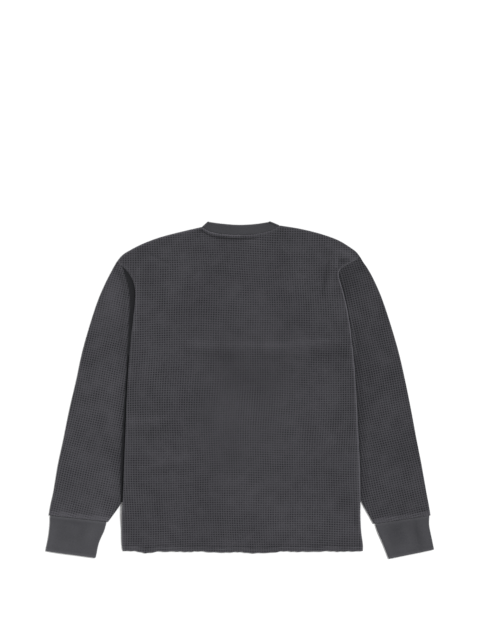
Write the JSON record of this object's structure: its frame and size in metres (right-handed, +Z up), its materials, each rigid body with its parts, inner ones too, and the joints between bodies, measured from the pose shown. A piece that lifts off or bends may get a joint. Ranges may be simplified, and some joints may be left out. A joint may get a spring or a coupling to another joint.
{
  "type": "long-sleeved thermal top",
  "caption": "Charcoal waffle-knit long-sleeved crew top laid flat on its front, back up, sleeves angled down beside the body and tucked under its edges, with rib cuffs and a raw hem.",
  "frame": {"origin": "middle of the outline of the laid top, on the surface that it lies on", "axes": "+Z up from the surface, through the front first and then the back; +Y towards the neck; +X towards the wearer's right sleeve"},
  "size_m": [0.8334, 0.725, 0.0116],
  "materials": {
    "waffle_knit": "matt washed cotton waffle",
    "rib_knit": "matt washed cotton rib"
  },
  "bodies": {
    "root": {"back_panel": "waffle_knit", "front_panel": "waffle_knit", "sleeve_left": "waffle_knit", "sleeve_right": "waffle_knit", "cuff_left": "rib_knit", "cuff_right": "rib_knit", "neck_rib": "rib_knit"}
  },
  "joints": []
}
